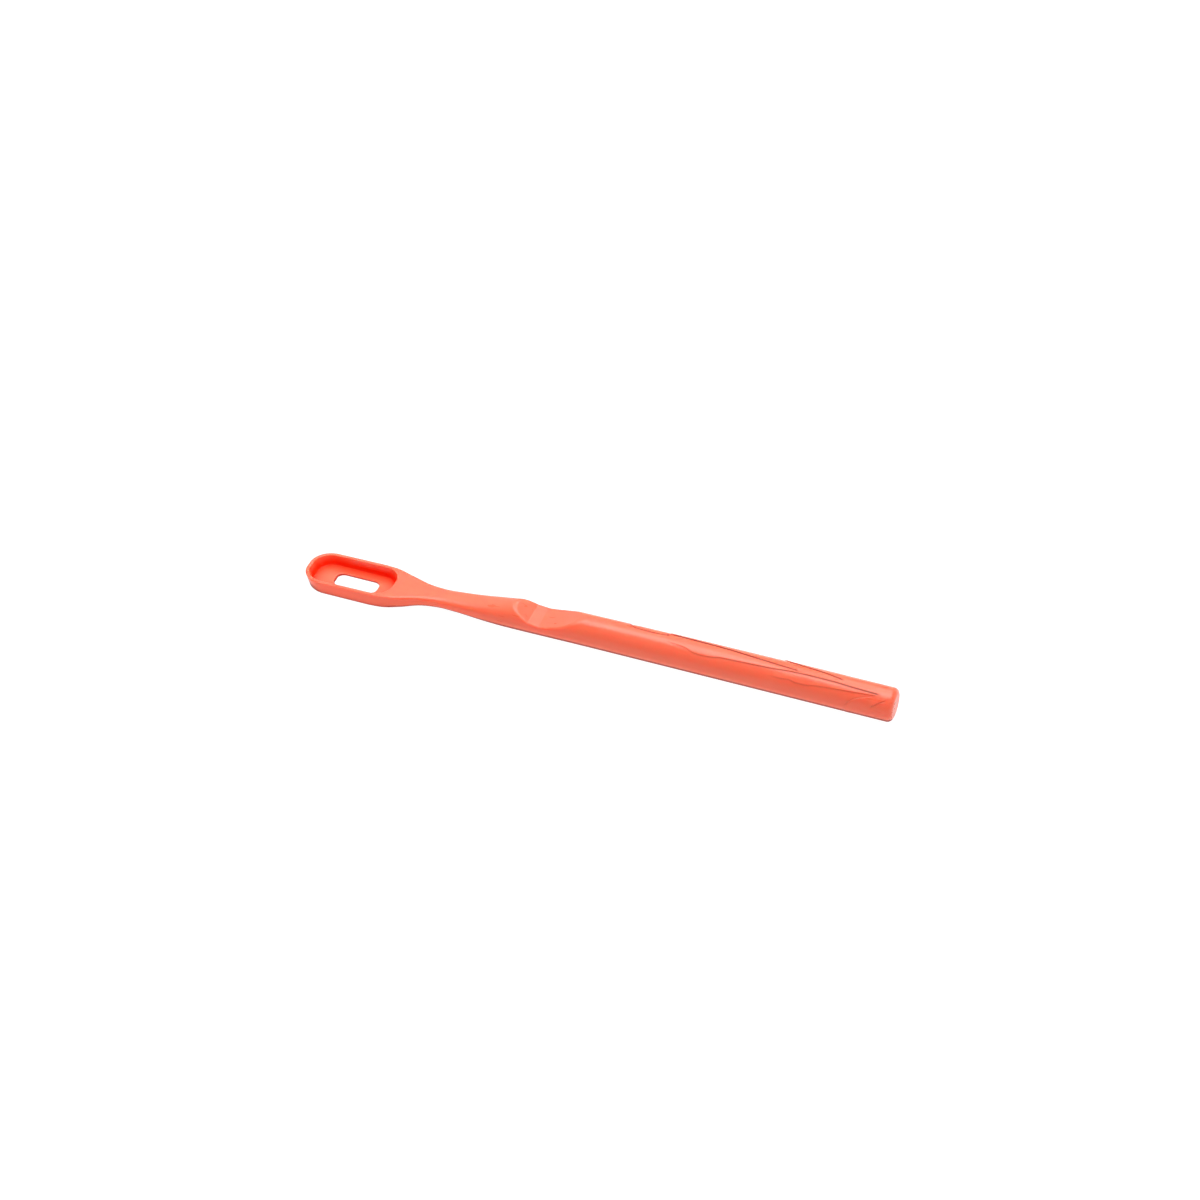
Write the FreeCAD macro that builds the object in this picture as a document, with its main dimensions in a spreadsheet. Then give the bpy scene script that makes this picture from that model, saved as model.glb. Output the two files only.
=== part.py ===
import FreeCAD, Part
import math
import os
import Sketcher

# One-piece moulded handle for a toothbrush with a replaceable head, in millimetres.
# +Z is up, towards the open side of the head socket. The handle lies along X, with the
# socket at -X and the rounded tail at +X. The origin is at the middle of the length,
# on the surface that the handle rests on. Distances "at" are measured from the tip.

DRIVING_SIZES = {
    "overall_length": 175.0,
    "socket_width": 13.4,
    "socket_rim_tip": 3.65,
    "socket_rim_tilt": 0.9,
    "nose_corner": 5.8,
    "nose_lean": 1.0,
    "wall": 0.87,
    "floor_thickness": 0.65,
    "recess_length": 26.3,
    "recess_corner": 4.9,
    "recess_lean": 0.75,
    "recess_draft": 0.3,
    "recess_overshoot": 0.3,
    "slot_at": 8.5,
    "slot_length": 13.7,
    "slot_width": 5.6,
    "slot_corner": 2.3,
    "bead_at": 14.0,
    "bead_length": 10.0,
    "bead_height": 0.35,
    "bead_setback": 0.02,
    "bead_above_floor": 1.5,
    "thumb_at": 72.2,
    "thumb_floor": 5.2,
    "thumb_front_radius": 9.0,
    "thumb_back_radius": 18.0,
    "tail_round": 1.7,
}

# Cross-sections square to the length: name, distance from the tip, width, underside
# height, top height, corner radius. The flare starts at the socket's straight sides, the
# neck ends at the crest in front of the thumb rest, and the grip ends at the tail. Each
# loft starts from the last section of the one before it.
STEM_LOFTS = [
    ("flare_loft", [
        ("socket_side", 22.0, 13.38, 0.0, 3.98, 0.15),
        ("flare_front", 26.5, 12.3, 0.05, 4.07, 0.35),
        ("flare_middle", 31.0, 9.6, 0.35, 4.15, 0.9),
        ("flare_back", 35.5, 7.2, 0.95, 4.3, 1.35),
        ("neck_front", 40.0, 6.6, 1.2, 4.55, 1.5),
    ]),
    ("neck_loft", [
        ("neck", 44.5, 6.75, 1.25, 4.85, 1.6),
        ("neck_back", 49.5, 7.2, 1.1, 5.3, 1.85),
        ("shoulder_front", 55.0, 7.85, 0.75, 6.1, 2.3),
        ("shoulder", 60.5, 8.45, 0.3, 7.2, 3.0),
        ("crest", 66.0, 8.8, 0.0, 8.4, 3.9),
    ]),
    ("grip_loft", [
        ("grip_1", 84.0, 9.05, 0.0, 9.0, 4.3),
        ("grip_2", 102.0, 9.2, 0.0, 9.2, 4.4),
        ("grip_3", 120.0, 9.3, 0.0, 9.3, 4.45),
        ("grip_4", 138.0, 9.4, 0.0, 9.4, 4.5),
        ("grip_5", 156.5, 9.5, 0.0, 9.5, 4.55),
        ("tail", 175.0, 9.55, 0.0, 9.55, 4.6),
    ]),
]

TOLERANCE = 0.01


def make_sheet(doc):
    """Put every driving dimension in the spreadsheet, one named cell each."""
    values = dict(DRIVING_SIZES)
    for _, sections in STEM_LOFTS:
        for name, at, width, bottom, top, corner in sections:
            values[name + "_at"] = at
            values[name + "_width"] = width
            values[name + "_bottom"] = bottom
            values[name + "_top"] = top
            values[name + "_corner"] = corner
    sheet = doc.addObject("Spreadsheet::Sheet", "Sizes")
    for row, (alias, value) in enumerate(values.items(), start=1):
        sheet.set("A%d" % row, alias)
        sheet.set("B%d" % row, str(value))
        sheet.setAlias("B%d" % row, alias)
    doc.recompute()


def attach(sketch, body, role, base, tilt=None):
    """Attach the sketch to one of its body's origin planes, moved to base and turned by tilt."""
    plane = next(item for item in body.Origin.OriginFeatures if item.Role == role)
    sketch.AttachmentSupport = (plane, "")
    sketch.MapMode = "FlatFace"
    if tilt:
        tip_down = FreeCAD.Rotation(FreeCAD.Vector(0, -1, 0), 1)
        sketch.AttachmentOffset = FreeCAD.Placement(FreeCAD.Vector(), tip_down)
        sketch.setExpression("AttachmentOffset.Rotation.Angle", tilt)
    for axis, expression in zip("xyz", base):
        sketch.setExpression("AttachmentOffset.Base." + axis, expression)


def bind(sketch, kind, items, name, expression):
    """Add one dimension to the sketch and drive it by an expression."""
    value = float(sketch.evalExpression(expression))
    index = sketch.addConstraint(Sketcher.Constraint(kind, *items, value))
    sketch.renameConstraint(index, name)
    sketch.setExpression("Constraints." + name, expression)


def add_rounded_rectangle(sketch, low, high, radii):
    """Four sides, counter-clockwise from the low one, and an arc at each corner with a radius.

    radii follow the corners, from the one where the low side starts, and None is square.
    """
    corners = [(low[0], low[1]), (high[0], low[1]), (high[0], high[1]), (low[0], high[1])]
    directions = [(1, 0), (0, 1), (-1, 0), (0, -1)]
    starts, ends = [], []
    for index, (corner, radius) in enumerate(zip(corners, radii)):
        ahead = directions[index]
        behind = directions[index - 1]
        reach = radius or 0
        starts.append(FreeCAD.Vector(corner[0] + ahead[0] * reach, corner[1] + ahead[1] * reach, 0))
        ends.append(FreeCAD.Vector(corner[0] - behind[0] * reach, corner[1] - behind[1] * reach, 0))
    sides = []
    for index in range(4):
        sides.append(sketch.addGeometry(Part.LineSegment(starts[index], ends[(index + 1) % 4]), False))
    arcs = []
    for index, radius in enumerate(radii):
        side_before = sides[index - 1]
        side_after = sides[index]
        if radius is None:
            sketch.addConstraint(Sketcher.Constraint("Coincident", side_before, 2, side_after, 1))
            continue
        centre = starts[index] + ends[index] - FreeCAD.Vector(*corners[index], 0)
        circle = Part.Circle(centre, FreeCAD.Vector(0, 0, 1), radius)
        first_angle = math.pi + index * math.pi / 2
        arc = sketch.addGeometry(Part.ArcOfCircle(circle, first_angle, first_angle + math.pi / 2), False)
        sketch.addConstraint(Sketcher.Constraint("Tangent", side_before, 2, arc, 1))
        sketch.addConstraint(Sketcher.Constraint("Tangent", arc, 2, side_after, 1))
        arcs.append(arc)
    for side in (sides[0], sides[2]):
        sketch.addConstraint(Sketcher.Constraint("Horizontal", side))
    for side in (sides[1], sides[3]):
        sketch.addConstraint(Sketcher.Constraint("Vertical", side))
    for arc in arcs[1:]:
        sketch.addConstraint(Sketcher.Constraint("Equal", arcs[0], arc))
    return sides, arcs


def plan_outline(body, name, length, width, corner, base, tilt=None, square_back=False):
    """A rounded rectangle seen from above, from x = -length to x = 0 of its own sketch."""
    sketch = body.newObject("Sketcher::SketchObject", name)
    attach(sketch, body, "XY_Plane", base, tilt)
    long_side, half, radius = (
        float(sketch.evalExpression(text)) for text in (length, "(%s) / 2" % width, corner))
    back = None if square_back else radius
    sides, arcs = add_rounded_rectangle(sketch, (-long_side, -half), (0, half), [radius, back, back, radius])
    sketch.addConstraint(Sketcher.Constraint("PointOnObject", sides[1], 1, -2))
    bind(sketch, "Radius", (arcs[0],), "corner", corner)
    bind(sketch, "DistanceX", (sides[3], 1, sides[1], 1), "length", length)
    bind(sketch, "DistanceY", (sides[0], 1, sides[2], 1), "width", width)
    bind(sketch, "DistanceY", (-1, 1, sides[2], 1), "half_width", "(%s) / 2" % width)
    return sketch


def stem_section(body, name, prefix):
    """One named cross-section, square to the handle's length."""
    sketch = body.newObject("Sketcher::SketchObject", prefix + name)
    cell = "Sizes." + name
    attach(sketch, body, "YZ_Plane", ("0", "0", cell + "_at - Sizes.overall_length / 2"))
    half, bottom, top, radius = (
        float(sketch.evalExpression(cell + text)) for text in ("_width / 2", "_bottom", "_top", "_corner"))
    sides, arcs = add_rounded_rectangle(sketch, (-half, bottom), (half, top), [radius] * 4)
    bind(sketch, "Radius", (arcs[0],), "corner", cell + "_corner")
    bind(sketch, "DistanceX", (sides[3], 1, sides[1], 1), "width", cell + "_width")
    bind(sketch, "DistanceX", (-1, 1, sides[1], 1), "half_width", cell + "_width / 2")
    bind(sketch, "DistanceY", (sides[0], 1, sides[2], 1), "height", "%s_top - %s_bottom" % (cell, cell))
    bind(sketch, "DistanceY", (-1, 1, sides[2], 1), "top", cell + "_top")
    return sketch


def add_loft(body, kind, name, sketches, ruled):
    feature = body.newObject("PartDesign::" + kind, name)
    feature.Profile = sketches[0]
    feature.Sections = sketches[1:]
    feature.Ruled = ruled
    return feature


def add_socket_block(body):
    """The outside of the head socket, whose nose leans in towards the underside."""
    back = "Sizes.socket_side_at - Sizes.overall_length / 2"
    rim_height = "Sizes.socket_rim_tip + Sizes.socket_side_at * tan(Sizes.socket_rim_tilt * 1 deg)"
    underside = plan_outline(
        body, "socket_underside", "Sizes.socket_side_at - Sizes.nose_lean", "Sizes.socket_width",
        "Sizes.nose_corner", (back, "0", "0"), square_back=True)
    rim = plan_outline(
        body, "socket_rim", "Sizes.socket_side_at", "Sizes.socket_width",
        "Sizes.nose_corner", (back, "0", rim_height), "Sizes.socket_rim_tilt * 1 deg", True)
    add_loft(body, "AdditiveLoft", "socket_block", [underside, rim], True)


def add_stem(body):
    """The flare, the neck and the grip, one loft each."""
    names = []
    for loft, sections in STEM_LOFTS:
        names = names[-1:] + [section[0] for section in sections]
        sketches = [stem_section(body, name, loft + "_") for name in names]
        add_loft(body, "AdditiveLoft", loft, sketches, False)


def cut_recess(body):
    """The recess that a brush head presses into, cut from a little above the rim."""
    end = "Sizes.wall + Sizes.recess_length"
    back = end + " - Sizes.overall_length / 2"
    rim_height = "Sizes.socket_rim_tip + (%s) * tan(Sizes.socket_rim_tilt * 1 deg)" % end
    mouth_width = "Sizes.socket_width - 2 * Sizes.wall"
    floor = plan_outline(
        body, "recess_floor", "Sizes.recess_length - Sizes.recess_lean - Sizes.recess_draft",
        mouth_width + " - 2 * Sizes.recess_draft", "Sizes.recess_corner",
        (back + " - Sizes.recess_draft", "0", "Sizes.floor_thickness"))
    mouth = plan_outline(
        body, "recess_mouth", "Sizes.recess_length", mouth_width, "Sizes.recess_corner",
        (back, "0", rim_height + " + Sizes.recess_overshoot"), "Sizes.socket_rim_tilt * 1 deg")
    add_loft(body, "SubtractiveLoft", "recess", [floor, mouth], True)


def cut_slot(body):
    """The slot through the socket floor, for pushing a worn head out from below."""
    back = "Sizes.slot_at + Sizes.slot_length - Sizes.overall_length / 2"
    outline = plan_outline(
        body, "slot_outline", "Sizes.slot_length", "Sizes.slot_width", "Sizes.slot_corner",
        (back, "0", "0"))
    slot = body.newObject("PartDesign::Pocket", "slot")
    slot.Profile = outline
    slot.Type = "Length"
    slot.Reversed = True
    slot.setExpression("Length", "Sizes.floor_thickness * 2")


def add_bead(body, name, side):
    """A low bead along one long wall of the recess, which grips the head.

    It stops just short of standing over the flat floor.
    """
    outer = "(Sizes.socket_width / 2 - Sizes.wall + Sizes.recess_draft)"
    width = "2 * Sizes.recess_draft - Sizes.bead_setback"
    middle = "%s(%s - (%s) / 2)" % (side, outer, width)
    back = "Sizes.bead_at + Sizes.bead_length / 2 - Sizes.overall_length / 2"
    outline = plan_outline(
        body, name + "_outline", "Sizes.bead_length", width, "Sizes.recess_draft / 2",
        (back, middle, "Sizes.floor_thickness + Sizes.bead_above_floor"))
    bead = body.newObject("PartDesign::Pad", name)
    bead.Profile = outline
    bead.setExpression("Length", "Sizes.bead_height")


def cut_thumb_rest(body):
    """The scoop across the top for the thumb: a short steep arc, then a long shallow one."""
    sketch = body.newObject("Sketcher::SketchObject", "thumb_outline")
    attach(sketch, body, "XZ_Plane", ("-Sizes.overall_length / 2", "0", "0"))
    cells = ("Sizes.thumb_at", "Sizes.thumb_floor", "Sizes.thumb_front_radius", "Sizes.thumb_back_radius")
    at, floor, front, back = (float(sketch.evalExpression(cell)) for cell in cells)
    up = FreeCAD.Vector(0, 0, 1)
    front_circle = Part.Circle(FreeCAD.Vector(at, floor + front, 0), up, front)
    back_circle = Part.Circle(FreeCAD.Vector(at, floor + back, 0), up, back)
    back_end = -math.asin((back - front) / back)
    lowest = -math.pi / 2
    front_arc = sketch.addGeometry(Part.ArcOfCircle(front_circle, -math.pi, lowest), False)
    back_arc = sketch.addGeometry(Part.ArcOfCircle(back_circle, lowest, back_end), False)
    lid = sketch.addGeometry(Part.LineSegment(
        FreeCAD.Vector(at + back * math.cos(back_end), floor + front, 0),
        FreeCAD.Vector(at - front, floor + front, 0)), False)
    sketch.addConstraint(Sketcher.Constraint("Coincident", front_arc, 2, back_arc, 1))
    sketch.addConstraint(Sketcher.Constraint("Coincident", back_arc, 2, lid, 1))
    sketch.addConstraint(Sketcher.Constraint("Coincident", lid, 2, front_arc, 1))
    sketch.addConstraint(Sketcher.Constraint("Horizontal", lid))
    sketch.addConstraint(Sketcher.Constraint("Vertical", front_arc, 3, front_arc, 2))
    sketch.addConstraint(Sketcher.Constraint("Vertical", back_arc, 3, front_arc, 2))
    bind(sketch, "Radius", (front_arc,), "front_radius", "Sizes.thumb_front_radius")
    bind(sketch, "Radius", (back_arc,), "back_radius", "Sizes.thumb_back_radius")
    bind(sketch, "DistanceX", (-1, 1, front_arc, 2), "at", "Sizes.thumb_at")
    bind(sketch, "DistanceY", (-1, 1, front_arc, 2), "floor", "Sizes.thumb_floor")
    bind(sketch, "DistanceY", (-1, 1, lid, 1), "lid", "Sizes.thumb_floor + Sizes.thumb_front_radius")
    scoop = body.newObject("PartDesign::Pocket", "thumb_rest")
    scoop.Profile = sketch
    scoop.Type = "ThroughAll"
    scoop.Midplane = True


def round_tail(body):
    """Round the edge of the tail's end face."""
    base = body.Tip
    end = base.Shape.BoundBox.XMax
    edges = enumerate(base.Shape.Edges, start=1)
    fillet = body.newObject("PartDesign::Fillet", "tail_edge")
    fillet.Base = (base, ["Edge%d" % number for number, edge in edges if edge.BoundBox.XMin > end - TOLERANCE])
    fillet.setExpression("Radius", "Sizes.tail_round")


def add_beads(body):
    add_bead(body, "far_bead", "")
    add_bead(body, "near_bead", "-")


# Each step, and whether it adds material (1) or takes it away (-1).
STEPS = [
    (add_socket_block, 1),
    (add_stem, 1),
    (cut_recess, -1),
    (cut_slot, -1),
    (add_beads, 1),
    (cut_thumb_rest, -1),
    (round_tail, -1),
]


def make_handle(doc):
    """The whole handle is one moulding, so it is one body."""
    body = doc.addObject("PartDesign::Body", "handle")
    body.Label = "handle"
    volume = 0.0
    for step, direction in STEPS:
        step(body)
        doc.recompute()
        change = body.Shape.Volume - volume
        if change * direction <= 0:
            raise RuntimeError("%s changed the volume by %.2f" % (step.__name__, change))
        volume = body.Shape.Volume
    return body


def check(doc, parts):
    for item in doc.Objects:
        if "Invalid" in item.State or "Error" in item.State:
            raise RuntimeError("%s failed: %s" % (item.Name, item.State))
    for part in parts:
        shape = part.Shape
        if shape.isNull() or not shape.isValid() or len(shape.Solids) != 1:
            raise RuntimeError("%s is not one valid solid" % part.Label)


def main():
    doc = FreeCAD.newDocument("toothbrush_handle")
    make_sheet(doc)
    parts = [make_handle(doc)]
    check(doc, parts)
    os.makedirs("parts", exist_ok=True)
    for part in parts:
        part.Shape.exportStep("parts/%s.step" % part.Label)
        box = part.Shape.BoundBox
        print("%s: %.1f x %.1f x %.1f mm, %.2f cm3" % (
            part.Label, box.XLength, box.YLength, box.ZLength, part.Shape.Volume / 1000))


main()
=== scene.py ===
import math

import bpy
import numpy as np
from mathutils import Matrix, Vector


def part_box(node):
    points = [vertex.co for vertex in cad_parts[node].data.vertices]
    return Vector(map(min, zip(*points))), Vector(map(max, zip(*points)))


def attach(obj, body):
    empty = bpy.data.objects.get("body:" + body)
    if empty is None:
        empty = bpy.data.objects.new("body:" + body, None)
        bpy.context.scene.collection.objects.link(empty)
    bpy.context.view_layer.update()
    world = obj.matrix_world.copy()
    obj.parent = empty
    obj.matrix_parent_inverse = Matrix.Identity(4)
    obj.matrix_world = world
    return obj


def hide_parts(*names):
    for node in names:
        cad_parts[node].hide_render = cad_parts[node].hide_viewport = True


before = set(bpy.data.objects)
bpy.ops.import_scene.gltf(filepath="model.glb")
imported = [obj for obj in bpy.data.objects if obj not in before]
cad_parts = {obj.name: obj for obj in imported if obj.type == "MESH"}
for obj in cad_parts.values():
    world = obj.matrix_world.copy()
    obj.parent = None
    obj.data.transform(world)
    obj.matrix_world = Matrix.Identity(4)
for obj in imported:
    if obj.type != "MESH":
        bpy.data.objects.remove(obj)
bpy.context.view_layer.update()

import openvdb
from mathutils import Vector

# Lengths in the tables are millimetres, and X in them is the distance from the socket's tip.
MM = 0.001
CAD_LOW, CAD_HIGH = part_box("handle")
LENGTH = (CAD_HIGH.x - CAD_LOW.x) / MM
TIP = CAD_LOW.x / MM

# ---------------------------------------------------------------- shape tables
HALF_WIDTH = [
    (0, 6.95), (21, 6.95), (24, 6.78), (27, 6.3), (29.5, 5.75), (32, 5.0), (34, 4.35), (36, 3.82),
    (38.5, 3.48), (42, 3.32), (47, 3.45), (52, 3.72), (57, 4.12), (62, 4.42), (66, 4.58),
    (72, 4.66), (78, 4.64), (84, 4.6), (102, 4.65), (120, 4.7), (138, 4.75), (156.5, 4.82), (175, 4.84),
]
UNDERSIDE = [
    (0, 0), (25, 0), (27, 0.03), (29, 0.12), (31, 0.3), (33, 0.62), (35.5, 0.95), (38, 1.13),
    (42, 1.22), (47, 1.2), (52, 0.92), (57, 0.52), (62, 0.12), (66, 0.01), (70, 0), (175, 0),
]
TOP = [
    (0, 3.65), (22, 4.0), (27, 4.08), (31, 4.15), (35.5, 4.3), (40, 4.55), (44.5, 4.85),
    (49.5, 5.3), (55, 6.1), (60.5, 7.35), (66, 8.45), (75, 8.8), (84, 8.97), (102, 9.2),
    (120, 9.3), (138, 9.4), (156.5, 9.5), (175, 9.55),
]
# How square the cross-section is: 2 is round.
SQUARENESS = [
    (0, 6), (27, 7), (31, 7), (34, 5.5), (37, 4), (40, 3), (43, 2.5), (47, 2.7), (52, 2.8),
    (57, 2.5), (62, 2.2), (66, 2.1), (84, 2), (175, 2),
]
# The thumb rest's front wall and floor are flat facets, as a height at X and a slope.
THUMB_WALL = (69.25, 5.672, -0.535)
THUMB_FLOOR = (69.5, 5.62, -0.13)
THUMB_RAMP = [
    (72.7, 5.2), (74.8, 5.5), (77.6, 6.2), (79.6, 6.85), (81.4, 7.7), (83, 8.4), (84.9, 9.2),
    (88.5, 11), (94, 16),
]

# The socket's outside: a blunt nose that leans back towards its foot, and the flare to the stem.
NOSE_LENGTH = 6.5
NOSE_FLAT = 1.0
NOSE_LEAN = 1.1
SOCKET_EDGE = 0.25
FLARE_FROM, FLARE_TO = 25.5, 31

# The recess that takes the head, and the low beads along its two long walls.
WALL = 1.05
RIM_INNER_EDGE = 0.2
RECESS_END = 26.85
RECESS_CORNER = 4.9
RECESS_LEAN = 0.75
RECESS_DRAFT = 0.3
SOCKET_FLOOR = 0.65
FLOOR_FILLET = 0.25
BEAD_FROM, BEAD_TO = 12.5, 23
BEAD_FADE = 1
BEAD_HEIGHT = 0.14
BEAD_AT = 2.35
BEAD_SOFT = 0.24

# The slot through the recess's floor. Its tip end slopes.
SLOT_FROM, SLOT_TO = 8.15, 21.55
SLOT_HALF_WIDTH = 2.62
SLOT_CORNER = 2.0
SLOT_EDGE = 0.12
SLOT_RAMP = 0.45

THUMB_EDGE = 0.5
TAIL_ROUND = 1.6

# The mesh's grid, with room around the handle.
SPACING = np.array([0.3, 0.15, 0.15])
GRID_LOW = np.array([-1.5, -8.0, -1.2])
GRID_HIGH = np.array([LENGTH + 1.5, 8.0, 11.2])
GRID_SLICES = 12
SURFACE_ROUNDS = 4

# Marks on the mesh for painted shade. The painted deep red shade grows down the recess's walls, in
# shares of its depth, and fades across its floor.
GLOW_DEPTH = 0.75
GLOW_REACH = 2.0
# A lining is the skin of a hollow, and fades out inside the plastic.
LINING_DEPTH = 0.3
RECESS_LINING, SLOT_LINING = 0.05, 0.1
# Painted shade: the slot's wall darkens and reddens over this depth below the recess's floor.
SLOT_FADE = 0.2
SLOT_DARK, SLOT_RED = 0.75, 0.5
# How far above the table the foot's shade fades.
FOOT_SHADE = 0.4


def smooth_table(table, at):
    """A smooth curve through the table's points that never overshoots them."""
    x, y = np.array(table, float).T
    step = np.diff(x)
    slope = np.diff(y) / step
    tangent = np.zeros_like(x)
    before, after = slope[:-1], slope[1:]
    same_way = before * after > 0
    weight_before = 2 * step[1:] + step[:-1]
    weight_after = step[1:] + 2 * step[:-1]
    safe_before = np.where(same_way, before, 1)
    safe_after = np.where(same_way, after, 1)
    mean = (weight_before + weight_after) / (weight_before / safe_before + weight_after / safe_after)
    tangent[1:-1] = np.where(same_way, mean, 0)
    tangent[0], tangent[-1] = slope[0], slope[-1]
    at = np.clip(at, x[0], x[-1])
    index = np.clip(np.searchsorted(x, at) - 1, 0, len(step) - 1)
    t = (at - x[index]) / step[index]
    low = y[index] + t * t * (3 - 2 * t) * (y[index + 1] - y[index])
    bend = t * (1 - t) * ((1 - t) * tangent[index] - t * tangent[index + 1])
    return low + bend * step[index]


def smooth_step(low, high, value):
    t = np.clip((value - low) / (high - low), 0, 1)
    return t * t * (3 - 2 * t)


def between(start, end, at, fade_in, fade_out):
    """1 from start to end, fading out towards both of them."""
    return smooth_step(start, start + fade_in, at) * (1 - smooth_step(end - fade_out, end, at))


def round_max(a, b, radius):
    """Where both distances are negative, with the edge between them rounded."""
    corner = np.hypot(np.maximum(a + radius, 0), np.maximum(b + radius, 0))
    return np.minimum(np.maximum(a, b), -radius) + corner


# ---------------------------------------------------------------- grass relief on the grip
# Each entry is the edge of one long blade of grass: points (X, angle in degrees from the top
# towards the side with negative y), the step's height, the side that is raised (1 is towards
# smaller angles), how far in degrees the raised side takes to sink back, the lengths over which
# the start and the end fade, and how dark the painted shade line at the step's foot is at its start
# and its end.
BLADES = [
    ([(106, -26), (114, -20), (120, -17), (127, -12), (131, -7), (137, 0), (142, 5), (148, 10.5)],
     0.26, 1, 14, 6, 1.2, 1, 0.7),
    ([(130, -150), (137, -110), (141.3, -66), (142.6, -44), (144, -31), (147, -23.5), (150, -18), (155, -9),
      (160.5, 4)], 0.26, 1, 24, 6, 1.2, 1, 0.7),
    ([(109, 18), (112, 21.5), (115, 25), (117, 34), (120, 38.5), (123, 36), (125.5, 31), (128, 29.5),
      (134, 27), (140, 24), (146, 18.5), (152, 17), (157, 17.5), (163, 21.5), (171.5, 25)],
     0.2, 1, 24, 5, 2, 0.1, 0.85),
    ([(139, 50), (143, 49.5), (145.5, 47), (147.5, 51.5), (150, 51.5), (153, 46.5), (157, 42.5),
      (162, 38.5), (166, 35), (170.5, 30.5)], 0.2, 1, 18, 4, 1.5, 0.14, 0.28),
    ([(161.3, 100), (162.3, 82), (163.2, 68), (164.5, 56), (166.5, 46), (169.5, 37)],
     0.2, -1, 22, 1.5, 1.5, 0.17, 0.17),
    ([(168.5, 76), (169.5, 66), (171, 52), (173.2, 34)], 0.2, 1, 20, 1, 1, 0.16, 0.16),
]
EDGE_WIDTH = 0.24
GROOVE_DEPTH, GROOVE_WIDTH = 0.1, 0.16
LINE_WIDTH = 0.24
GRIP_RADIUS = 4.7
DEGREE = math.radians(GRIP_RADIUS)  # the length of one degree round the grip
# The relief rises out of the plain grip over this stretch of X.
RELIEF_FADE = 84, 88
# A shallow hollow between two blades on the far shoulder, under a curved edge like a blade's.
DIP = [
    (97, -60), (97.8, -34), (98.6, -21), (100, -12.5), (104, -9.5), (107.5, -11), (109.2, -20),
    (110, -60),
]
DIP_DEPTH, DIP_REACH, DIP_FADE = 0.2, 30, 1
# The hidden side's set is the same one turned half way round and moved towards the tip. It starts
# at the seam, and fades in over these of its own angles.
HIDDEN_SEAM = -40
HIDDEN_SHIFT = 3
HIDDEN_FADE = -44, -32


def across_line(points, at, angle):
    """Distance from a line on the grip, in millimetres, positive towards smaller angles."""
    run = 0.5
    lean = (smooth_table(points, at + run) - smooth_table(points, at - run)) / (2 * run)
    return (smooth_table(points, at) - angle) * DEGREE / np.hypot(1, lean * DEGREE)


def blade_edges(at, angle):
    """The blades' height in millimetres, and how dark the painted shade line at their feet is."""
    height, painted_line_shade = 0.0, 0.0
    for points, step, side, decay, fade_in, fade_out, dark_start, dark_end in BLADES:
        start, end = points[0][0], points[-1][0]
        across = across_line(points, at, angle) * side
        ends = between(start, end, at, fade_in, fade_out)
        raised = smooth_step(-EDGE_WIDTH / 2, EDGE_WIDTH / 2, across)
        sink = np.exp(-np.maximum(across, 0) / (decay * DEGREE))
        groove = np.exp(-(((across + EDGE_WIDTH / 2) / GROOVE_WIDTH) ** 2))
        height = np.maximum(height, step * raised * sink * ends) - GROOVE_DEPTH * groove * ends
        dark = dark_start + (dark_end - dark_start) * np.clip((at - start) / (end - start), 0, 1)
        painted_line_shade = np.maximum(painted_line_shade, dark * ends * np.exp(-(((across + EDGE_WIDTH / 4) / LINE_WIDTH) ** 2)))
    return np.array([height, painted_line_shade])


def relief(at, angle):
    """The seen side's blades, and the same set sunk into the hidden side, half way round."""
    height, painted_line_shade = blade_edges(at, angle)
    turned = (angle - HIDDEN_SEAM) % 360 + (HIDDEN_SEAM - 180)
    hidden_fade = smooth_step(*HIDDEN_FADE, turned)
    hidden, hidden_line_shade = blade_edges(at + HIDDEN_SHIFT, turned) * hidden_fade
    across = across_line(DIP, at, angle)
    ends = between(DIP[0][0], DIP[-1][0], at, DIP_FADE, DIP_FADE)
    reach = np.exp(-np.maximum(across, 0) / (DIP_REACH * DEGREE)) * ends
    dip = DIP_DEPTH * smooth_step(-EDGE_WIDTH / 2, EDGE_WIDTH / 2, across) * reach
    # The dip's painted shade line lies its own width to the near side of the edge, where it shows.
    dip_line_shade = ends * np.exp(-((across / LINE_WIDTH + 1) ** 2))
    height = height - np.maximum(hidden, 0) - dip
    painted_line_shade = np.maximum.reduce([painted_line_shade, hidden_line_shade, dip_line_shade])
    return np.array([height, painted_line_shade]) * smooth_step(*RELIEF_FADE, at)


# ---------------------------------------------------------------- the handle as a distance field
def around(at, y, z):
    """Half width, middle height, half height and the angle round the section from the top."""
    width = smooth_table(HALF_WIDTH, at)
    bottom, top = smooth_table(UNDERSIDE, at), smooth_table(TOP, at)
    centre, half = (top + bottom) / 2, (top - bottom) / 2
    return width, centre, half, np.degrees(np.arctan2(-y / width, (z - centre) / half))


def stem(at, y, z):
    """Rounded cross-sections along the whole length."""
    width, centre, half, angle = around(at, y, z)
    square = smooth_table(SQUARENESS, at)
    least_share, least_slope = 1e-4, 0.02
    u = np.maximum(np.abs(y) / width, least_share)
    v = np.maximum(np.abs(z - centre) / half, least_share)
    total = u ** square + v ** square
    radius = total ** (1 / square)
    slope = total ** (1 / square - 1) * np.hypot(u ** (square - 1) / width, v ** (square - 1) / half)
    return (radius - 1) / np.maximum(slope, least_slope) - relief(at, angle)[0]


def rounded_nose(at, y, nose, flat, half_width):
    """Distance outside an outline with a blunt rounded end at X = 0."""
    least_radius, least_slope = 1e-6, 0.05
    along = np.maximum(nose - at, 0) / nose
    across = np.maximum(np.abs(y) - flat, 0) / (half_width - flat)
    radius = np.hypot(along, across)
    slope = np.hypot(along / nose, across / (half_width - flat)) / np.maximum(radius, least_radius)
    return (radius - 1) / np.maximum(slope, least_slope)


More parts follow.
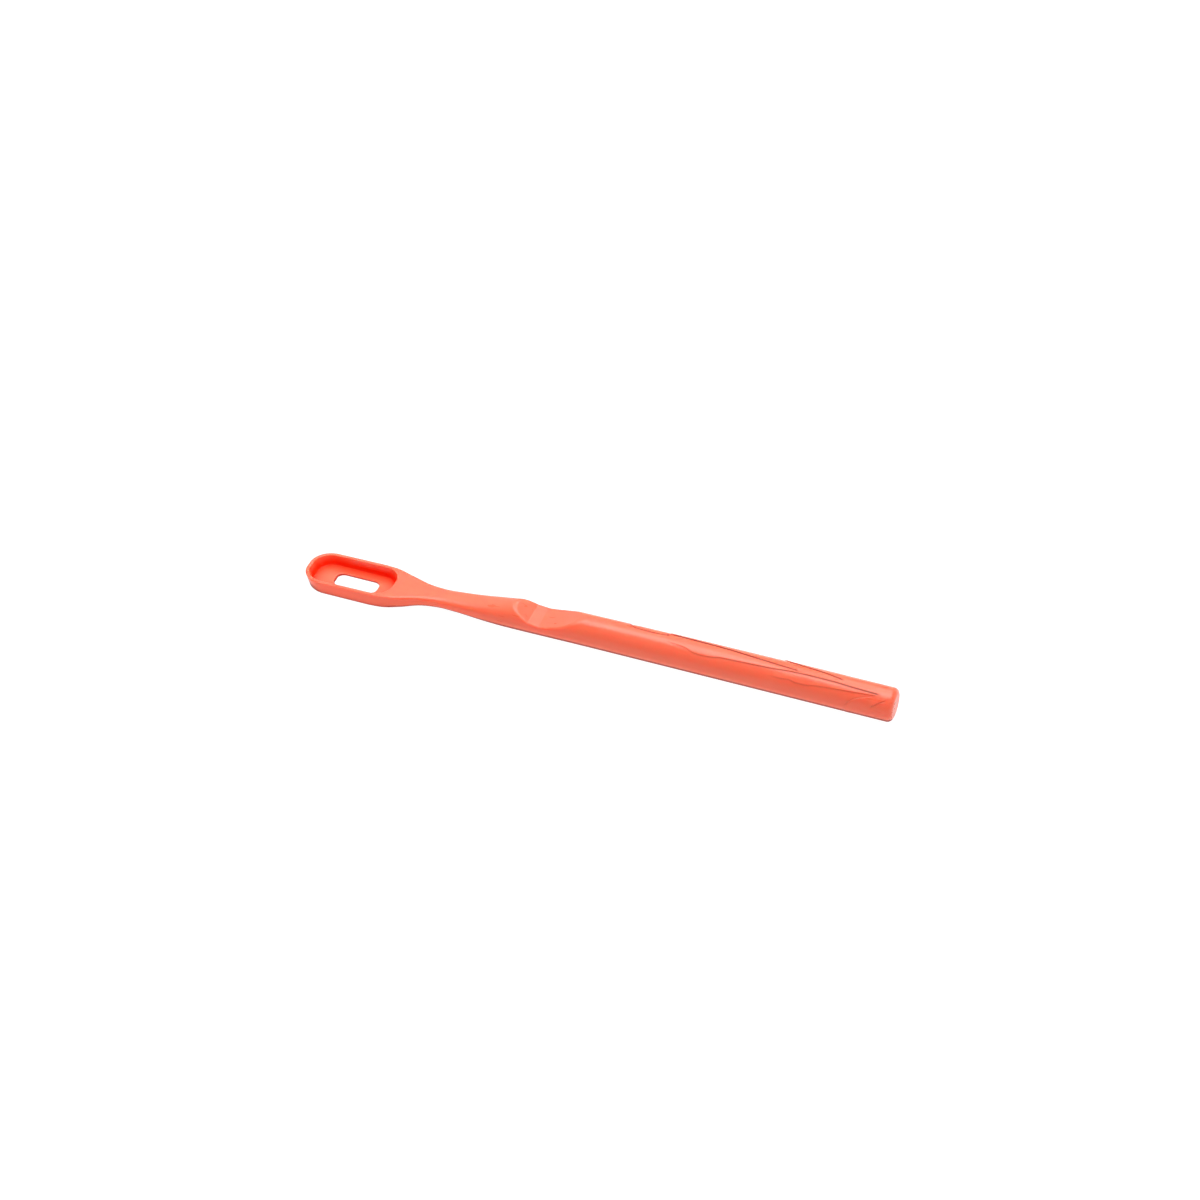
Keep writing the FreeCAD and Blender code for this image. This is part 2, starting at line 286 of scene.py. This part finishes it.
def socket_block(at, y, z, top):
    """The socket's outside, from its leaning nose to where it flares."""
    width, bottom = smooth_table(HALF_WIDTH, at), smooth_table(UNDERSIDE, at)
    lean = NOSE_LEAN * np.clip(1 - z / top, 0, 1)
    plan = rounded_nose(at - lean, y, NOSE_LENGTH, NOSE_FLAT, width)
    return round_max(plan, np.maximum(z - top, bottom - z), SOCKET_EDGE)


def recess_outline(at, y, z, top):
    """How deep each place is below the rim, as a share, and its distance outside the recess's sides."""
    deepest = 1.2
    depth = np.clip((top - z) / (top - SOCKET_FLOOR), 0, deepest)
    inner = HALF_WIDTH[0][1] - WALL
    nose = rounded_nose(at - WALL - RECESS_LEAN * depth, y, NOSE_LENGTH - WALL, NOSE_FLAT, inner)
    past = np.maximum(at - (RECESS_END - RECESS_CORNER), 0)
    beside = np.maximum(np.abs(y) - (inner - RECESS_CORNER), 0)
    back = np.hypot(past, beside) - RECESS_CORNER
    bead_run = between(BEAD_FROM, BEAD_TO, at, BEAD_FADE, BEAD_FADE)
    bead = BEAD_HEIGHT * bead_run * np.exp(-(((z - BEAD_AT) / BEAD_SOFT) ** 2))
    return depth, np.maximum(nose, back) + RECESS_DRAFT * depth + bead


def recess(at, y, z, top):
    """The space inside the socket: negative inside it."""
    return round_max(recess_outline(at, y, z, top)[1], SOCKET_FLOOR - z, FLOOR_FILLET)


def slot(at, y, z):
    """The hole through the recess's floor: negative inside it."""
    start = SLOT_FROM + SLOT_RAMP * np.clip(1 - z / SOCKET_FLOOR, 0, 1)
    along = np.abs(at - (start + SLOT_TO) / 2) - (SLOT_TO - start) / 2 + SLOT_CORNER
    across = np.abs(y) - SLOT_HALF_WIDTH + SLOT_CORNER
    outside = np.hypot(np.maximum(along, 0), np.maximum(across, 0))
    return outside + np.minimum(np.maximum(along, across), 0) - SLOT_CORNER


def facet(at, shape):
    """The height at X of a flat facet, from one place on it and its slope."""
    place, height, slope = shape
    return height + slope * (at - place)


def scoop(at):
    """The thumb rest's height, straight across the handle: front wall, floor and then ramp."""
    facets = np.maximum(facet(at, THUMB_WALL), facet(at, THUMB_FLOOR))
    return np.maximum(facets, smooth_table(THUMB_RAMP, at))


def thumb_rest(at, z):
    """Distance above the scoop."""
    run = 0.15
    slope = (scoop(at + run) - scoop(at - run)) / (2 * run)
    return (z - scoop(at)) / np.hypot(1, slope)


def handle_distance(at, y, z):
    """About how far each place is outside the handle's surface, in millimetres."""
    top = smooth_table(TOP, at)
    flare = smooth_step(FLARE_FROM, FLARE_TO, at)
    outside = (1 - flare) * socket_block(at, y, z, top) + flare * stem(at, y, z)
    body = round_max(outside, -recess(at, y, z, top), RIM_INNER_EDGE)
    body = round_max(body, -slot(at, y, z), SLOT_EDGE)
    body = round_max(body, thumb_rest(at, z), THUMB_EDGE)
    return round_max(body, at - LENGTH, TAIL_ROUND)


def lining(hollow, near):
    """1 on a hollow's surface, fading away inside the plastic."""
    return smooth_step(-LINING_DEPTH, -near, -hollow)


def recess_red_shade(at, y, z):
    """Painted deep red shade where light only reaches through the plastic: low on the recess's walls and
    beside them.
    """
    top = smooth_table(TOP, at)
    depth, side = recess_outline(at, y, z, top)
    inside = lining(recess(at, y, z, top), RECESS_LINING)
    return inside * smooth_step(0, GLOW_DEPTH, depth) * np.exp(np.minimum(side, 0) / GLOW_REACH)


def slot_wall(at, y, z):
    """The slot's own walls, below the recess's floor, where shade is painted."""
    return smooth_step(0, SLOT_FADE, SOCKET_FLOOR - z) * lining(slot(at, y, z), SLOT_LINING)


def gradient(points, step=0.004):
    """The distance field's slope at each point."""
    parts = []
    for axis in range(3):
        shift = np.zeros(3)
        shift[axis] = step
        ahead, behind = handle_distance(*(points + shift).T), handle_distance(*(points - shift).T)
        parts.append((ahead - behind) / (2 * step))
    return np.stack(parts, -1)


def surface_points():
    """Quads over the surface, with every corner moved exactly onto it, and the normals there."""
    counts = ((GRID_HIGH - GRID_LOW) / SPACING).astype(int) + 1
    at, y, z = (GRID_LOW[k] + SPACING[k] * np.arange(counts[k]) for k in range(3))
    slices = [
        handle_distance(rows[:, None, None], y[None, :, None], z[None, None, :])
        for rows in np.array_split(at, GRID_SLICES)]
    grid = openvdb.FloatGrid(1.0)
    grid.copyFromArray(np.concatenate(slices).astype(np.float32))
    points, quads = grid.convertToQuads(0.0)
    points = GRID_LOW + points.astype(float) * SPACING
    least_slope = 0.05
    for _ in range(SURFACE_ROUNDS):
        slope = gradient(points)
        length = np.maximum((slope ** 2).sum(-1), least_slope)
        points = points - slope * (handle_distance(*points.T) / length)[:, None]
    slope = gradient(points)
    return points, quads, slope / np.linalg.norm(slope, axis=-1, keepdims=True)


def quad_mesh(name, points, quads, normals):
    """A smooth mesh that faces outwards."""
    a, b, c = (points[quads[:, k]] for k in range(3))
    facing = np.einsum("ij,ij->i", np.cross(b - a, c - b), normals[quads[:, 0]])
    if np.median(facing) < 0:
        quads = quads[:, ::-1]
    corners = np.ascontiguousarray(quads).astype(np.int32)
    places = (points + np.array([TIP, 0, 0])) * MM
    mesh = bpy.data.meshes.new(name)
    mesh.vertices.add(len(places))
    mesh.vertices.foreach_set("co", places.astype(np.float32).ravel())
    mesh.loops.add(corners.size)
    mesh.loops.foreach_set("vertex_index", corners.ravel())
    mesh.polygons.add(len(corners))
    mesh.polygons.foreach_set("loop_start", np.arange(0, corners.size, 4, dtype=np.int32))
    mesh.update(calc_edges=True)
    mesh.shade_smooth()
    mesh.normals_split_custom_set_from_vertices(normals)
    return mesh


def mark_points(mesh, points):
    """Shares from 0 to 1 on the mesh's points, which the material turns into painted shade."""
    at, y, z = points.T
    angle = around(at, y, z)[3]
    shadow = slot_wall(at, y, z)
    marks = {
        "foot": np.exp(-((z / FOOT_SHADE) ** 2)) * (1 - shadow),
        "painted_line_shade": np.maximum(relief(at, angle)[1], SLOT_DARK * shadow),
        "red_painted_shade": np.maximum(recess_red_shade(at, y, z), SLOT_RED * shadow)}
    for name, values in marks.items():
        attribute = mesh.attributes.new(name, "FLOAT", "POINT")
        attribute.data.foreach_set("value", values.astype(np.float32))


def make_handle():
    points, quads, normals = surface_points()
    mesh = quad_mesh("handle_body", points, quads, normals)
    mark_points(mesh, points)
    piece = bpy.data.objects.new("handle_body", mesh)
    bpy.context.scene.collection.objects.link(piece)
    return piece


# ---------------------------------------------------------------- material
CORAL_DEEP = (0.92, 0.14, 0.063, 1)
CORAL_LIGHT = (0.95, 0.157, 0.073, 1)
# Painted shade: the deep red where light only reaches through the plastic, in the recess and the slot.
PAINTED_RED_SHADE = (0.95, 0.032, 0.003, 1)
# Painted shade: the dark line at the blades' feet and on the slot's wall.
LINE_SHADE_BROWN = (0.15, 0.035, 0.025, 1)
CONTACT_BROWN = (0.33, 0.055, 0.04, 1)
# Noise patterns: scale, detail, and the stretch that draws some of them out along the handle.
CLOUD = 90, 3, None
FLOW_MARKS = 260, 2, (0.12, 1, 1)
SCUFFS = 700, 4, (0.1, 1, 1)
HAZE = 55, 2, None
GRAIN = 2600, 3, None
# The contact shade: how far it looks for something near, how much a face that points down and a
# place just above the table add to it, how fast the recess turns it off, and the range it spans.
CONTACT_REACH = 4 * MM
DOWN_WEIGHT, FOOT_WEIGHT = 4, 0.4
RECESS_CUT = 4
CONTACT_FROM, CONTACT_TO = 0.28, 0.8
# The clean plastic's gloss, how much of it the painted deep red shade takes away, and the roughness.
GLOSS = 0.5
RED_DULLNESS = 0.7
LEAST_ROUGH, ROUGH_RANGE = 0.2, 0.1


def link_math(nodes, links, operation, first, second):
    node = nodes.new("ShaderNodeMath")
    node.operation = operation
    for socket, value in zip(node.inputs, (first, second)):
        if isinstance(value, (int, float)):
            socket.default_value = value
        else:
            links.new(value, socket)
    return node.outputs[0]


def noise(nodes, links, where, pattern):
    scale, detail, stretch = pattern
    node = nodes.new("ShaderNodeTexNoise")
    node.inputs["Scale"].default_value = scale
    node.inputs["Detail"].default_value = detail
    if stretch:
        mapping = nodes.new("ShaderNodeMapping")
        mapping.inputs["Scale"].default_value = stretch
        links.new(where, mapping.inputs["Vector"])
        where = mapping.outputs["Vector"]
    links.new(where, node.inputs["Vector"])
    return node.outputs["Fac"]


def blend_colour(nodes, links, amount, colour, tint):
    """The colour, turned towards the tint by the amount."""
    mix = nodes.new("ShaderNodeMix")
    mix.data_type = "RGBA"
    mix.inputs["B"].default_value = tint
    links.new(amount, mix.inputs["Factor"])
    links.new(colour, mix.inputs["A"])
    return mix.outputs["Result"]


def point_mark(nodes, name):
    """One of the marks that mark_points leaves on the mesh."""
    node = nodes.new("ShaderNodeAttribute")
    node.attribute_name = name
    return node.outputs["Fac"]


def contact_shade(nodes, links, recess_share):
    """How closely each place outside the recess faces what the handle rests on."""
    openness = nodes.new("ShaderNodeAmbientOcclusion")
    openness.samples = 16
    openness.inputs["Distance"].default_value = CONTACT_REACH
    closed = link_math(nodes, links, "SUBTRACT", 1, openness.outputs["AO"])
    normal = nodes.new("ShaderNodeSeparateXYZ")
    links.new(nodes.new("ShaderNodeNewGeometry").outputs["Normal"], normal.inputs["Vector"])
    down = link_math(nodes, links, "MULTIPLY", normal.outputs["Z"], -DOWN_WEIGHT)
    down = link_math(nodes, links, "MAXIMUM", down, 0)
    closed = link_math(nodes, links, "MULTIPLY", closed, link_math(nodes, links, "ADD", 1, down))
    outside = link_math(nodes, links, "MULTIPLY", recess_share, RECESS_CUT)
    outside = link_math(nodes, links, "SUBTRACT", 1, outside)
    outside = link_math(nodes, links, "MAXIMUM", outside, 0)
    closed = link_math(nodes, links, "MULTIPLY", closed, outside)
    foot = link_math(nodes, links, "MULTIPLY", point_mark(nodes, "foot"), FOOT_WEIGHT)
    closed = link_math(nodes, links, "ADD", closed, foot)
    contact = nodes.new("ShaderNodeMapRange")
    contact.inputs["From Min"].default_value = CONTACT_FROM
    contact.inputs["From Max"].default_value = CONTACT_TO
    links.new(closed, contact.inputs["Value"])
    return contact.outputs["Result"]


def cloudy_coral(nodes, links, where):
    """The plastic's own colour, with soft clouds and faint flow marks."""
    cloud = noise(nodes, links, where, CLOUD)
    flow = noise(nodes, links, where, FLOW_MARKS)
    mix = link_math(nodes, links, "ADD", cloud, flow)
    ramp = nodes.new("ShaderNodeValToRGB")
    deep, light = ramp.color_ramp.elements
    deep.position, light.position = 0.36, 0.64
    deep.color, light.color = CORAL_DEEP, CORAL_LIGHT
    links.new(link_math(nodes, links, "MULTIPLY", mix, 0.5), ramp.inputs["Fac"])
    return ramp.outputs["Color"]


def coral_plastic():
    """Semi-gloss moulded bioplastic: cloudy colour, faint flow marks and fine handling scuffs."""
    material = bpy.data.materials.new("handle_plastic")
    material.use_nodes = True
    nodes, links = material.node_tree.nodes, material.node_tree.links
    shader = nodes["Principled BSDF"]
    where = nodes.new("ShaderNodeTexCoord").outputs["Object"]
    red_painted_shade, painted_line_shade = point_mark(nodes, "red_painted_shade"), point_mark(nodes, "painted_line_shade")
    contact = contact_shade(nodes, links, red_painted_shade)

    # The coral, then painted shade: the deep red in the recess and slot, the dark lines at the blades' feet
    # and on the slot's wall, and the contact shade.
    colour = cloudy_coral(nodes, links, where)
    for amount, tint in ((red_painted_shade, PAINTED_RED_SHADE), (painted_line_shade, LINE_SHADE_BROWN), (contact, CONTACT_BROWN)):
        colour = blend_colour(nodes, links, amount, colour, tint)
    links.new(colour, shader.inputs["Base Color"])

    # The shaded places don't shine.
    dull_red = link_math(nodes, links, "MULTIPLY", red_painted_shade, RED_DULLNESS)
    dull = link_math(nodes, links, "MAXIMUM", contact, painted_line_shade)
    dull = link_math(nodes, links, "MAXIMUM", dull, dull_red)
    gloss = link_math(nodes, links, "SUBTRACT", 1, dull)
    links.new(link_math(nodes, links, "MULTIPLY", gloss, GLOSS), shader.inputs["Specular IOR Level"])

    scuff = noise(nodes, links, where, SCUFFS)
    haze = noise(nodes, links, where, HAZE)
    rough = link_math(nodes, links, "ADD", scuff, haze)
    rough = link_math(nodes, links, "MULTIPLY", rough, ROUGH_RANGE)
    links.new(link_math(nodes, links, "ADD", rough, LEAST_ROUGH), shader.inputs["Roughness"])

    grain = noise(nodes, links, where, GRAIN)
    bump = nodes.new("ShaderNodeBump")
    bump.inputs["Strength"].default_value = 0.08
    bump.inputs["Distance"].default_value = 0.04 * MM
    links.new(grain, bump.inputs["Height"])
    links.new(bump.outputs["Normal"], shader.inputs["Normal"])

    shader.inputs["IOR"].default_value = 1.49
    shader.inputs["Subsurface Weight"].default_value = 0.8
    shader.inputs["Subsurface Radius"].default_value = (1.0, 0.14, 0.07)
    shader.inputs["Subsurface Scale"].default_value = 2.4 * MM
    return material


def paper_white():
    """The studio's floor, which lights itself to the white of the photo's background."""
    material = bpy.data.materials.new("floor_white")
    material.use_nodes = True
    shader = material.node_tree.nodes["Principled BSDF"]
    shader.inputs["Base Color"].default_value = (0.13, 0.13, 0.13, 1)
    shader.inputs["Roughness"].default_value = 0.9
    shader.inputs["Emission Color"].default_value = (0.99, 1, 1, 1)
    shader.inputs["Emission Strength"].default_value = 0.98
    shader.inputs["Specular IOR Level"].default_value = 0.1
    return material


# ---------------------------------------------------------------- camera, light and floor
CAMERA_AZIMUTH, CAMERA_ELEVATION = 20.63, 40.5
CAMERA_DISTANCE = 781.7 * MM
CAMERA_TARGET = Vector((1.95, 0, 16.69)) * MM
# Each lamp's name, place, aim, size and power, in metres and watts.
LAMPS = [
    ("overhead", (0, 0.2, 1.0), (0, 0.2, 0), (1.2, 0.6), 11.8),
    ("behind", (0, 0.9, 1.0), (0, 0.9, 0), (1.7, 0.7), 4.0),
    ("left_panel", (-0.47, 0.57, 0.3), (0, 0, 0), (0.5, 0.4), 0.45),
    ("back_panel", (0.03, 0.75, 0.72), (0, 0, 0), (0.24, 0.4), 1.3),
]
FLOOR_HALF = 3000 * MM
FLOOR_GAP = 0.02 * MM


def direction(azimuth, elevation):
    a, e = math.radians(azimuth), math.radians(elevation)
    return Vector((math.sin(a) * math.cos(e), -math.cos(a) * math.cos(e), math.sin(e)))


def add_camera():
    camera = bpy.data.objects.new("camera", bpy.data.cameras.new("camera"))
    bpy.context.scene.collection.objects.link(camera)
    towards = direction(CAMERA_AZIMUTH, CAMERA_ELEVATION)
    camera.location = CAMERA_TARGET + towards * CAMERA_DISTANCE
    camera.rotation_euler = (-towards).to_track_quat("-Z", "Y").to_euler()
    camera.data.lens = 85
    camera.data.sensor_width = 36
    camera.data.clip_start = 0.02
    camera.data.clip_end = 20
    bpy.context.scene.camera = camera


def add_softbox(name, place, aim, size, power):
    data = bpy.data.lights.new(name, "AREA")
    data.shape = "RECTANGLE"
    data.size, data.size_y = size
    data.energy = power
    lamp = bpy.data.objects.new(name, data)
    lamp.location = place
    lamp.rotation_euler = (Vector(aim) - Vector(place)).to_track_quat("-Z", "Y").to_euler()
    bpy.context.scene.collection.objects.link(lamp)


def add_floor():
    """A wide sheet, a hair below the handle's foot."""
    sides = [(-1, -1), (1, -1), (1, 1), (-1, 1)]
    corners = [(FLOOR_HALF * x, FLOOR_HALF * y, -FLOOR_GAP) for x, y in sides]
    mesh = bpy.data.meshes.new("floor")
    mesh.from_pydata(corners, [], [(0, 1, 2, 3)])
    floor = bpy.data.objects.new("floor", mesh)
    floor.data.materials.append(paper_white())
    bpy.context.scene.collection.objects.link(floor)


def add_sky():
    world = bpy.data.worlds.new("studio")
    world.use_nodes = True
    background = world.node_tree.nodes["Background"]
    background.inputs["Color"].default_value = (1, 1, 1, 1)
    background.inputs["Strength"].default_value = 0.45
    bpy.context.scene.world = world
    bpy.context.scene.view_settings.view_transform = "Standard"


add_camera()
add_sky()
add_floor()
for lamp in LAMPS:
    add_softbox(*lamp)

handle = make_handle()
handle.data.materials.append(coral_plastic())
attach(handle, "root")
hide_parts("handle")
